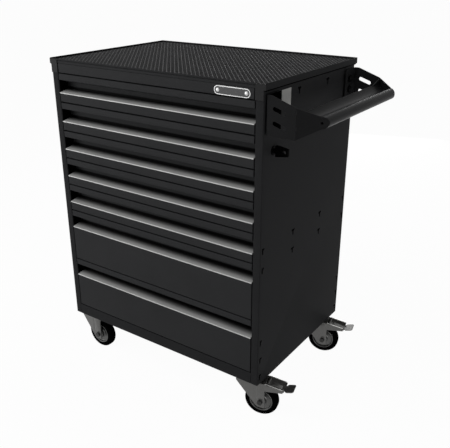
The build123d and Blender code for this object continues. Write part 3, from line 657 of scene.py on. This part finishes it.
# %% Fold both panels and punch them
for side, name in ((1, "right"), (-1, "left")):
    plan = [
        (side * open_half, post_d),
        (side * open_half, 0.0),
        (side * half_w, 0.0),
        (side * half_w, cab_d),
        (side * (half_w - 15.0), cab_d),
    ]
    panel = piece("panel_" + name, [prism(folded(plan, side * sheet_t, 3.0), "z", 0.0, lid_under)])
    panel.data.materials.append(body_paint)
    for points, shift, length in slot_columns(side * (half_w - sheet_t / 2)):
        arms = {"Arm_shift": shift / 1000, "Arm_length": length / 1000}
        punched(panel, grown("punch", scattered(points), punch, shade_black, **arms))
    if side > 0:
        drilled(panel, lock_y, lock_z, lock_hole_r)
        for y in bolt_y:
            for z in bolt_z:
                drilled(panel, y, z, bolt_hole_r)
    dress(panel, None, "carcass", ["side_panel_" + name], edge=0.3)
    # The posts' inner faces get black painted shade.
    second_finish(panel, shade_black, in_post)
    print(panel.name, len(panel.data.vertices), "points")

# %% [markdown]
# ## Base, back and top strip
# The floor pan, the back and the uprights are plain sheet, so copies of the CAD parts with rounded edges
# serve. The strip above the drawers is seen close up: it is folded here, with its real bend radius. It ends a
# little above the first drawer, and the gap reads as a dark line.

# %% Base, back and uprights
dress(merged("floor_pan", "base_pan"), body_paint, "carcass", ["base_pan"], edge=0.5)
dress(merged("back_sheet", "back_panel"), body_paint, "carcass", ["back_panel"], edge=0.3)
slide_posts = merged("slide_posts", "slide_uprights")
dress(slide_posts, zinc, "carcass", ["slide_uprights"], edge=0.3)
print("dark faces of the slide posts:", shade_outside(slide_posts))
dress(merged("plates_and_bolts", "castor_plates"), zinc, "carcass", ["castor_plates"], edge=0.5)

# %% Strip above the drawers
strip_low = drawers_top + 1.2
strip_d, fold_r = 9.5, 1.8
strip_path = [(strip_d, strip_low), (0.0, strip_low), (0.0, fascia_top), (strip_d, fascia_top)]
strip_end = open_half - 4.4
tabs = [
    slab(side * (strip_end - sheet_t), side * open_half, 3.0, strip_d, z, z + sheet_t)
    for side in (-1, 1)
    for z in (strip_low, fascia_top - sheet_t)
]
strip = piece("top_strip", [prism(folded(strip_path, -sheet_t, fold_r), "x", -strip_end, strip_end)] + tabs)
dress(strip, front_paint, "carcass", ["top_fascia"], edge=0.3)
print(strip.name, "is", 2 * strip_end, "mm long")

# %% [markdown]
# ## Lid, mat and corner caps
# The lid is a shallow tray with a rim at the sides and the back. Black strips under its sides paint the shadow
# line between the lid and the panels. A ribbed rubber mat fills it. The ribs could be bump in the rubber, but
# bump leaves the mesh flat, and they stand up far enough to be felt. They run in two slanted families that
# cross, and each follows a straight line, so Geometry Nodes sweep a small round profile along lines that are
# first cut to the mat's outline. The ribs' lighter colour is a painted highlight. The two caps close the lid at
# the front.

# %% Lid and its front lip
dress(merged("lid", "lid_tray"), body_paint, "carcass", ["lid_tray"], edge=0.5)
cap_in = half_w - 24.0
lip_low, lip_high = fascia_top + 0.3, rim_top - 0.8
lip_side = rounded([(2.6, lip_low), (1.2, lip_low), (1.2, lip_high), (2.6, lip_high)], 0.6, 3, True)
lip = piece("lid_lip", [prism(lip_side, "x", -cap_in, cap_in)])
dress(lip, front_paint, "carcass", edge=0.2)
print(lip.name, "closes the front over", 2 * cap_in, "mm")

# %% Black strips of painted shadow under the lid's sides
hem_z = rim_top - 16.0
shadow_strips = [
    slab(side * (half_w - 0.2), side * (half_w + 4.4), 1.0, cab_d - 1.0, hem_z - 2.6, hem_z)
    for side in (-1, 1)
]
# The strips paint the dark shadow line under the lid's sides.
dress(piece("lid_shadow_strips", shadow_strips), shade_black, "carcass", edge=0.2)
print("two seals", round(cab_d - 2.0), "mm long")

# %% A rib along each line
ribs, given, result = geometry_tree("mat ribs", {"Rib width": 0.002, "Rib height": 0.0012})
lines = add(ribs, "GeometryNodeMeshToCurve", Mesh=given["Geometry"])
upright = add(ribs, "GeometryNodeSetCurveNormal", Curve=lines.outputs[0])
upright.mode = "Z_UP"
section = add(ribs, "GeometryNodeCurvePrimitiveCircle", Resolution=8, Radius=0.5)
flat = add(ribs, "ShaderNodeCombineXYZ", X=given["Rib width"], Y=given["Rib height"], Z=1.0)
shaped = add(ribs, "GeometryNodeTransform", Geometry=section.outputs[0], Scale=flat.outputs[0])
swept = add(
    ribs, "GeometryNodeCurveToMesh", Curve=upright.outputs[0], Profile_Curve=shaped.outputs[0], Fill_Caps=True
)
close_tree(ribs, given, result, swept.outputs[0])
print("tree", ribs.name)

# %% Lines of the ribs
mat_x0, mat_x1, mat_y0, mat_y1 = -360.5, 360.5, 6.0, 500.5
pitch_x, pitch_y = 13.47, 16.52
first_x, shortest_rib, lines_each_way = 3.0, 4.0, 60


def clipped(start, heading):
    """Where a line through start crosses the mat's outline, or nothing if it misses it."""
    spans = []
    for a, d, low, high in zip(start, heading, (mat_x0, mat_y0), (mat_x1, mat_y1)):
        spans.append(sorted(((low - a) / d, (high - a) / d)))
    near, far = max(s[0] for s in spans), min(s[1] for s in spans)
    if far - near < shortest_rib:
        return None
    return [(start[0] + heading[0] * t, start[1] + heading[1] * t) for t in (near, far)]


ends, pairs = [], []
for slope in (-1, 1):
    length = math.hypot(pitch_x, pitch_y)
    heading = (slope * pitch_x / length, pitch_y / length)
    for i in range(-lines_each_way, lines_each_way + 1):
        line = clipped((i * pitch_x + first_x, 0.0), heading)
        if line:
            pairs.append((len(ends), len(ends) + 1))
            ends += [(x, y, mat_top - 0.6) for x, y in line]
print(len(pairs), "ribs")

# %% Mat
sink = 0.0007
rib_piece = grown("mat_ribs", scattered(ends, pairs), ribs, lit_rib_rubber)
mat_body = merged("mat_sheet", "top_mat")
sunk = [vertex for vertex in mat_body.data.vertices if drawn(vertex.co).z > mat_top - 0.1]
for vertex in sunk:
    vertex.co.z -= sink
dress(mat_body, mat_rubber, "carcass", ["top_mat"], edge=0.3)
rib_piece.data.polygons.foreach_set("use_smooth", [True] * len(rib_piece.data.polygons))
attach(rib_piece, "carcass")
print("mat lowered between its ribs at", len(sunk), "points")

# %% Corner caps
lid_out = half_w + 5.0
cap_low, cap_top = drawers_top + 0.5, rim_top - 2.0
outline = [(half_w, cap_low), (half_w, hem_z), (lid_out, hem_z), (lid_out, cap_top)]
outline += rounded([(lid_out, cap_top), (cap_in, cap_top), (cap_in, cap_low)], 6.0, 6)[1:-1]
outline += [(cap_in, cap_low)]
caps = [prism([(side * x, z) for x, z in outline], "y", -1.6, 0.0) for side in (-1, 1)]
dress(piece("cap_plates", caps), cap_plastic, "carcass", ["corner_caps"], edge=0.6)
print("a cap is", lid_out - cap_in, "mm wide")

# %% [markdown]
# ## Drawers
# A drawer front is one folded sheet: a narrow strip, a slanted face that leads the fingers in, a recess, and a
# ledge that carries the aluminium grip. Seven fronts drawn one by one would soon differ a little. Two heights
# exist, and both share the same path, so one function makes all seven. The recess's lower half and the inner
# end of the grip lie in a crease, so painted shade fades them to black there.
# Behind the front stands an open box on ball slides, with a foam liner on its floor.

# %% Side view of a front
front_half = open_half - 1.7
front_t, recess_d = 1.2, 33.5
crease_from, crease_to = 40.5, 44.5
ledge_in, ledge_out = 50.0, 57.0
recess_from, black_from = 20.0, 28.0


def front_path(top, bottom):
    """Side view of a drawer front, from its top flange to its bottom flange."""
    return [
        (recess_d + front_t, top - 1.8),
        (0.0, top - 1.8),
        (0.0, top - 19.3),
        (recess_d, top - 29.5),
        (recess_d, top - crease_from),
        (recess_d, top - crease_to),
        (recess_d, top - ledge_in),
        (0.0, top - ledge_out),
        (0.0, bottom + 0.7),
        (recess_d + front_t, bottom + 0.7),
    ]


print("a front's path has", len(front_path(0.0, -row_h)), "points")


# %% Fronts and grips
def drawer_front(number, top, bottom):
    """Folded front with closed ends, and the grip trim on its ledge."""
    path = front_path(top, bottom)
    parts = [prism(folded(path, front_t, fold_r), "x", -front_half, front_half)]
    back = path[0][0]
    upper = rounded([*path[:4], (back, path[3][1])], fold_r, closed=True)
    lower = rounded([*path[:5:-1], (back, path[6][1])], fold_r, closed=True)
    for side in (-1, 1):
        for end in (upper, lower):
            parts.append(prism(end, "x", side * (front_half - front_t), side * (front_half - 0.02)))
    body = f"drawer_{number}"
    front = piece(f"front_{number}", parts)
    full = crease_to - crease_from
    store_crease(front, lambda y, z: (top - crease_from - z) / full if y > recess_from else 0.0)
    dress(front, front_paint, body, [f"drawer_front_{number}"], edge=0.25)
    grip_t, grip_back = 1.2, recess_d - 1.2
    rise = (ledge_out - ledge_in) / recess_d * (recess_d - grip_back)
    nose = [(grip_back, top - ledge_in - rise), (0.0, top - ledge_out), (0.0, top - ledge_out - 1.6)]
    trim_half = front_half - 0.5
    trim = piece(f"grip_{number}", [prism(folded(nose, -grip_t, 0.5), "x", -trim_half, trim_half)])
    store_crease(trim, lambda y, z: y / black_from)
    dress(trim, aluminium, body, [f"drawer_grip_{number}"], edge=0.25)


row_top = drawers_top
drawer_rows = []
for number, count in enumerate(rows, start=1):
    bottom = row_top - count * row_h + 1.0
    drawer_rows.append((number, row_top, bottom))
    drawer_front(number, row_top, bottom)
    row_top -= count * row_h
print(len(drawer_rows), "drawer fronts")

# %% Boxes, liners and slides
liner_half, liner_y0, liner_y1, liner_low, liner_high = 321.0, 38.0, 482.0, 4.1, 6.6
for number, top, bottom in drawer_rows:
    body = f"drawer_{number}"
    box = f"drawer_box_{number}"
    dress(merged(f"box_{number}", box), drawer_paint, body, [box], edge=0.2)
    pad = slab(-liner_half, liner_half, liner_y0, liner_y1, bottom + liner_low, bottom + liner_high)
    liner = piece(f"liner_{number}", [pad])
    dress(liner, foam, body, edge=0.6)
    middle = f"slide_middle_{number}"
    dress(merged(f"runner_{number}", middle), slide_steel, middle, [middle], edge=0.2)
fixed_rails = merged("fixed_rails", "slide_outer_rails")
dress(fixed_rails, slide_steel, "carcass", ["slide_outer_rails"], edge=0.2)
print("dark faces of the fixed rails:", shade_outside(fixed_rails))
print("boxes, liners and slides for", len(drawer_rows), "drawers")

# %% [markdown]
# ## Handle
# Two folded brackets carry a round grip that is rolled on the edge of a small tray. The CAD parts have these
# shapes already, so they are copied, with their edges rounded by half a millimetre. The front bracket's flange
# lies in the shade behind the bracket's own slots, so its faces get black painted shade.

# %% Brackets, grip and bolts
brackets = merged("brackets", "handle_brackets")
dress(brackets, shaded_bracket_paint, "carcass", ["handle_brackets"], edge=0.5)
flange_x = half_w + 7.5
shaded = second_finish(brackets, shade_black, lambda x, y, z: x < flange_x and y < cab_d / 2)
print("faces behind the slots:", shaded)
dress(merged("grip_and_tray", "handle_rail"), shaded_grip_paint, "carcass", ["handle_rail"], edge=0.4)
dress(merged("bracket_bolts", "handle_bolts"), dark_steel, "carcass", ["handle_bolts"], edge=0.4)

# %% [markdown]
# ## Lock
# The barrel sits in the side panel. The key's shank and the plug turn together and pull a long bar down behind
# the post, and the bar's tabs then stand in front of a catch on every drawer. The grip of the key folds. It is
# widest at the barrel and narrows to the ring's end, so the corners of the plain CAD shape are drawn in.

# %% Barrel, plug and bar
dress(merged("barrel_and_guides", "lock_housing"), dark_steel, "carcass", ["lock_housing"], edge=0.3)
dress(merged("plug_and_cam", "lock_core"), dark_steel, "lock_core", ["lock_core"], edge=0.2)
dress(merged("bar_and_tabs", "lock_bar"), zinc, "lock_bar", ["lock_bar"], edge=0.3)
print("the lock stands", lock_z, "mm above the base")

# %% The key's grip
cad_base, grip_base, base_half, taper = 371.2, 367.2, 14.2, 0.16
outside_hole = 5.9
grip = merged("key_grip", "key_bow")
corners = [vertex for vertex in grip.data.vertices if abs(drawn(vertex.co).z - lock_z) > outside_hole]
for vertex in corners:
    x, y, z = drawn(vertex.co)
    half = base_half - taper * (x - cad_base)
    x = grip_base if x < cad_base + 0.5 else x
    vertex.co = put(x, y, lock_z + math.copysign(half, z - lock_z))
dress(grip, key_plastic, "key_bow", ["key_bow"], edge=1.0)
print("corners of the key's grip moved:", len(corners))

# %% [markdown]
# ## Castors
# A castor is a pressed fork under a plate, with a steel wheel and a solid tyre. Wheel and tyre are turned
# shapes, so each is a profile swung round the axle. The fork and the pedal keep their CAD shape, and get the
# rolled edges and the raised fields that a real pressing has: one on each cheek of the fork and one on the
# pedal. The rolled edges are painted near white, a painted highlight. The axle's nuts are darker than the zinc.
# The braked pair stands turned by 14 degrees.

# %% Castor places
axle_z, trail, braked_turn = -75.0, 32.3, 14.0
crown_z, pedal_slope, pedal_pin, arm_end = -9.4, math.radians(10.0), (53.0, -13.25), 98.0
cheek_y, nut_reach = 22.8, 8.5
castor_x, castor_y = half_w - 42.3, (40.0, cab_d - 66.0)
castors = {
    "front_right": (castor_x, castor_y[0], braked_turn),
    "rear_right": (castor_x, castor_y[1], braked_turn),
    "front_left": (-castor_x, castor_y[0], 0.0),
    "rear_left": (-castor_x, castor_y[1], 0.0),
}
print("places:", {name: round(place[1]) for name, place in castors.items()})


# %% Turned with a castor
def swivelled(part, x, y, degrees):
    """A part drawn about the swivel axis, turned about it and moved to its castor."""
    points, faces = part
    c, s = math.cos(math.radians(degrees)), math.sin(math.radians(degrees))
    return [(x + a * c - b * s, y + a * s + b * c, z) for a, b, z in points], faces


def drooped(part):
    """A part drawn on a level pedal, turned down about the pedal's pin."""
    points, faces = part
    pin_a, pin_z = pedal_pin
    c, s = math.cos(pedal_slope), math.sin(pedal_slope)
    return [
        (pin_a + (a - pin_a) * c + (z - pin_z) * s, b, pin_z - (a - pin_a) * s + (z - pin_z) * c)
        for a, b, z in points
    ], faces


def on_nut(point, x, y, degrees):
    """Whether a point of the drawing lies on one of the axle's two nuts."""
    a, b, z = point[0] - x, point[1] - y, point[2]
    turn = math.radians(degrees)
    along, across = a * math.cos(turn) + b * math.sin(turn), b * math.cos(turn) - a * math.sin(turn)
    return math.hypot(along - trail, z - axle_z) < nut_reach and abs(across) > cheek_y + 0.4


print("a pedal slopes down by", round(math.degrees(pedal_slope)), "degrees")

# %% Wheel and tyre profiles
rim_r, tread_r, shoulder_r = 34.6, 50.0, 9.0
arc = [k * math.pi / 16 for k in range(9)]
shoulder = [
    (tread_r - shoulder_r + shoulder_r * math.sin(t), 5 + shoulder_r * math.cos(t)) for t in arc
]
tyre_half = [(rim_r, 12.4), (35.4, 13.4), (37.4, 13.9), (38.0, 13.5), (39.0, 13.5), (39.6, 13.9)]
tyre_half += shoulder + [(tread_r, 1.2), (49.8, 0.8)]
disc_half = [(5.05, 19.6), (13.6, 19.6), (15.0, 18.4), (15.0, 9.6), (17.0, 7.6), (26.0, 6.6)]
disc_half += [(29.8, 8.2), (31.2, 12.0), (32.2, 13.3), (33.6, 13.6), (rim_r, 12.8)]


def mirrored(half_profile):
    """A profile and its mirror image across the wheel's middle."""
    return half_profile + [(radius, -along) for radius, along in reversed(half_profile)]


def round_part(name, half_profile, x, y, turn):
    """A turned part on the axle of a castor."""
    part = turned(mirrored(half_profile), (trail, 0, axle_z))
    return piece(name, [swivelled(part, x, y, turn)])


print("tyre profile has", len(mirrored(tyre_half)), "points")


# %% Rolled edge of a brake arm, and a raised field
def rolled_edge(side):
    """A rounded bead along the top of an arm, from the crown to the arm's end."""
    bend = pedal_pin[0]
    end_z = crown_z - (arm_end - bend) * math.tan(pedal_slope)
    count = 8
    steps = [2 * math.pi * k / count for k in range(count)]
    points, faces = [], []
    for x, z in ((44.0, crown_z), (bend, crown_z), (arm_end, end_z)):
        points += [(x, side * 21.3 + 1.7 * math.cos(t), z - 0.6 + 1.3 * math.sin(t)) for t in steps]
    for ring in (0, count):
        ends_here = [(ring + k, ring + (k + 1) % count) for k in range(count)]
        faces += [(a, b, count + b, count + a) for a, b in ends_here]
    return points, faces + [tuple(range(count)), tuple(range(2 * count, 3 * count))]


def pressed_field(a0, a1, b0, b1, axis, low, height, slope):
    """A raised field with sloping sides, as pressed into a plate, along one axis."""
    points = []
    for level, shrink in ((low, 0.0), (low + height, slope)):
        corners = [(a0 + shrink, b0 + shrink), (a1 - shrink, b0 + shrink), (a1 - shrink, b1 - shrink)]
        ring = rounded(corners + [(a0 + shrink, b1 - shrink)], 4.0, closed=True)
        points += [(a, b, level) if axis == "z" else (a, level, b) for a, b in ring]
    return points, walls(len(points) // 2)


print("rolled edge has", len(rolled_edge(1)[0]), "points")

# %% Wheels
for name, (x, y, turn) in castors.items():
    tyre = round_part("tyre_" + name, tyre_half, x, y, turn)
    dress(tyre, tyre_rubber, "wheel_" + name, ["castor_tyre_" + name], edge=0)
    disc = round_part("disc_" + name, disc_half, x, y, turn)
    dress(disc, wheel_steel, "wheel_" + name, ["castor_wheel_" + name], edge=0.3)
print(len(castors), "wheels")

# %% Forks
cheek_fields = [
    pressed_field(19.0, 44.5, -64.0, -10.5, "y", side * cheek_y, side * 2.2, 4.5) for side in (-1, 1)
]
for name, (x, y, turn) in castors.items():
    fork = merged("fork_" + name, "castor_fork_" + name)
    dress(fork, zinc, "castor_" + name, ["castor_fork_" + name], edge=0.7)
    second_finish(fork, nut_steel, lambda *point: on_nut(point, x, y, turn))
    rib = piece("fork_ribs_" + name, [swivelled(part, x, y, turn) for part in cheek_fields])
    dress(rib, zinc, "castor_" + name, edge=0.5)
print(len(castors), "forks with a field on each cheek")

# %% Brakes
pedal_field = drooped(pressed_field(60.0, 94.0, -11.0, 11.0, "z", -16.4, 2.0, 3.5))
braked = {name: place for name, place in castors.items() if place[2]}
for name, (x, y, turn) in braked.items():
    edges = piece("arm_edges_" + name, [swivelled(rolled_edge(side), x, y, turn) for side in (-1, 1)])
    # Painted highlight along the arms' rolled edges.
    dress(edges, highlight_zinc, "castor_" + name, edge=0)
    pedal = merged("pedal_" + name, "brake_pedal_" + name)
    dress(pedal, zinc, "pedal_" + name, ["brake_pedal_" + name], edge=0.6)
    boss = piece("pedal_boss_" + name, [swivelled(pedal_field, x, y, turn)])
    dress(boss, zinc, "pedal_" + name, edge=0.5)
print("brakes on", ", ".join(braked))

# %% [markdown]
# ## Badge plate and label
# A small bare plate with a raised rim and two rivets sits on the top strip, and a bare label on the side
# panel. The rivets are round heads at given points, so Geometry Nodes place them.

# %% Round heads at points
heads, given, result = geometry_tree("round heads", {"Head radius": 0.005, "Head height": 0.0015})
ball = add(heads, "GeometryNodeMeshUVSphere", Segments=20, Rings=10, Radius=1.0)
squashed = add(
    heads, "ShaderNodeCombineXYZ", X=given["Head radius"], Y=given["Head height"], Z=given["Head radius"]
)
placed = add(
    heads, "GeometryNodeInstanceOnPoints", Points=given["Geometry"], Instance=ball.outputs[0],
    Scale=squashed.outputs[0],
)
close_tree(heads, given, result, placed.outputs[0])
print("tree", heads.name)

# %% Badge
badge_x, badge_z, badge_half, badge_r = 271.0, 812.0, 52.5, 11.0


def stadium(half_length, radius, steps=12):
    """Outline of a plate with round ends."""
    reach = half_length - radius
    turns = [math.pi * (k / steps - 0.5) for k in range(steps + 1)]
    right = [(badge_x + reach + radius * math.cos(t), badge_z + radius * math.sin(t)) for t in turns]
    left = [(badge_x - reach - radius * math.cos(t), badge_z - radius * math.sin(t)) for t in turns]
    return right + left


rim = piece("badge_rim", [prism(stadium(badge_half, badge_r), "y", -1.2, 0.05)])
dress(rim, badge_metal, "carcass", edge=0.4)
face = piece("badge_plate", [prism(stadium(badge_half - 2.0, badge_r - 2.0), "y", -1.35, -1.1)])
dress(face, badge_face, "carcass", edge=0.1)
rivet_points = [(badge_x + side * (badge_half - badge_r), -1.1, badge_z) for side in (-1, 1)]
rivets = grown(
    "badge_rivets", scattered(rivet_points), heads, badge_metal, Head_radius=0.0052, Head_height=0.0012
)
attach(rivets, "carcass")
print("the badge is a bare plate with", len(rivet_points), "rivets")

# %% Label
label_y0, label_y1, label_z0, label_z1 = 49.0, 128.0, 766.0, 812.0
label_corners = [(label_y0, label_z0), (label_y1, label_z0), (label_y1, label_z1), (label_y0, label_z1)]
label_outline = rounded(label_corners, 2.0, closed=True)
label = piece("label", [prism(label_outline, "x", half_w, half_w + 0.15)])
dress(label, label_film, "carcass", edge=0)
print("the label is", label_y1 - label_y0, "mm long and bare")

# %% [markdown]
# ## Floor, light and camera
# The cabinet stands on a plain pale floor that looks white to the camera and to shiny metal, but keeps a soft
# shadow. The sky is white to them too, while it lights the paint only a little. A bright sky alone would give
# dark paint an even grey without a shape. Three large soft lamps give it broad reflections instead: one above,
# one from the left and one low at the side. A fourth one behind keeps the back from going black.


# %% White for the camera
def directly_seen(tree):
    """A socket that is 1 for camera, glossy and transmission rays, and 0 for the rays that carry light."""
    path = add(tree, "ShaderNodeLightPath").outputs
    camera_or_gloss = add(
        tree, "ShaderNodeMath", {"operation": "MAXIMUM"}, i0=path["Is Camera Ray"], i1=path["Is Glossy Ray"]
    )
    return add(
        tree, "ShaderNodeMath", {"operation": "MAXIMUM"}, i0=camera_or_gloss.outputs[0],
        i1=path["Is Transmission Ray"],
    ).outputs[0]


print("camera, glossy and transmission rays see white")

# %% Floor
white_share, floor_reach = 0.965, 30
floor_paint = bpy.data.materials.new("pale floor")
floor_paint.use_nodes = True
floor_tree = floor_paint.node_tree
pale = floor_tree.nodes["Principled BSDF"]
pale.inputs["Base Color"].default_value = (0.8, 0.8, 0.8, 1)
pale.inputs["Roughness"].default_value = 0.9
seen = directly_seen(floor_tree)
amount = add(floor_tree, "ShaderNodeMath", {"operation": "MULTIPLY"}, i0=seen, i1=white_share)
white = add(floor_tree, "ShaderNodeEmission", Color=(1, 1, 1, 1), Strength=1.0)
both = add(floor_tree, "ShaderNodeMixShader", Fac=amount.outputs[0], i1=pale.outputs[0], i2=white.outputs[0])
floor_tree.links.new(both.outputs[0], floor_tree.nodes["Material Output"].inputs["Surface"])
floor_data = bpy.data.meshes.new("floor")
floor_corners = [(a * floor_reach, b * floor_reach, 0) for a, b in ((-1, -1), (1, -1), (1, 1), (-1, 1))]
floor_data.from_pydata(floor_corners, [], [(0, 1, 2, 3)])
floor_data.materials.append(floor_paint)
floor = linked("floor", floor_data)
print(floor.name, 2 * floor_reach, "m wide")

# %% World
world = bpy.data.worlds.new("studio")
bpy.context.scene.world = world
world.use_nodes = True
sky = world.node_tree
dim = add(sky, "ShaderNodeBackground", Color=(1, 1, 1, 1), Strength=0.25)
bright = add(sky, "ShaderNodeBackground", Color=(1, 1, 1, 1), Strength=1.0)
both = add(sky, "ShaderNodeMixShader", Fac=directly_seen(sky), i1=dim.outputs[0], i2=bright.outputs[0])
sky.links.new(both.outputs[0], sky.nodes["World Output"].inputs["Surface"])
print("sky at", dim.inputs["Strength"].default_value, "for the rays that carry light")


# %% Lamps
def lamp(name, place, target, size, watts):
    """A square area lamp at a place in metres, aimed at a target."""
    data = bpy.data.lights.new(name, "AREA")
    data.size = size
    data.energy = watts
    made = linked(name, data)
    made.location = place
    made.rotation_euler = (Vector(target) - Vector(place)).to_track_quat("-Z", "Y").to_euler()


lamp("main lamp", (-0.3, -1.9, 3.6), (0.0, -0.1, 0.5), 1.5, 40.0)
lamp("front fill", (-2.0, -2.2, 0.8), (-0.1, -0.25, 0.45), 1.6, 38.0)
lamp("side lamp", (2.6, -0.7, 0.12), (0.36, 0.05, 0.25), 1.0, 21.0)
lamp("rear lamp", (-0.9, 2.8, 0.75), (0.0, 0.25, 0.45), 1.5, 20.0)
print("lamps:", len(bpy.data.lights))

# %% Camera
camera_data = bpy.data.cameras.new("camera")
camera_data.lens = 50.56
camera = linked("camera", camera_data)
camera.location = (1.04545, -1.4967, 1.2284)
looks_down, looks_left = 0.398, 0.6073
camera.rotation_euler = (math.pi / 2 - looks_down, 0.0, looks_left)
bpy.context.scene.camera = camera
bpy.context.scene.view_settings.view_transform = "Standard"
print("the camera looks down by", round(math.degrees(looks_down), 1), "degrees")
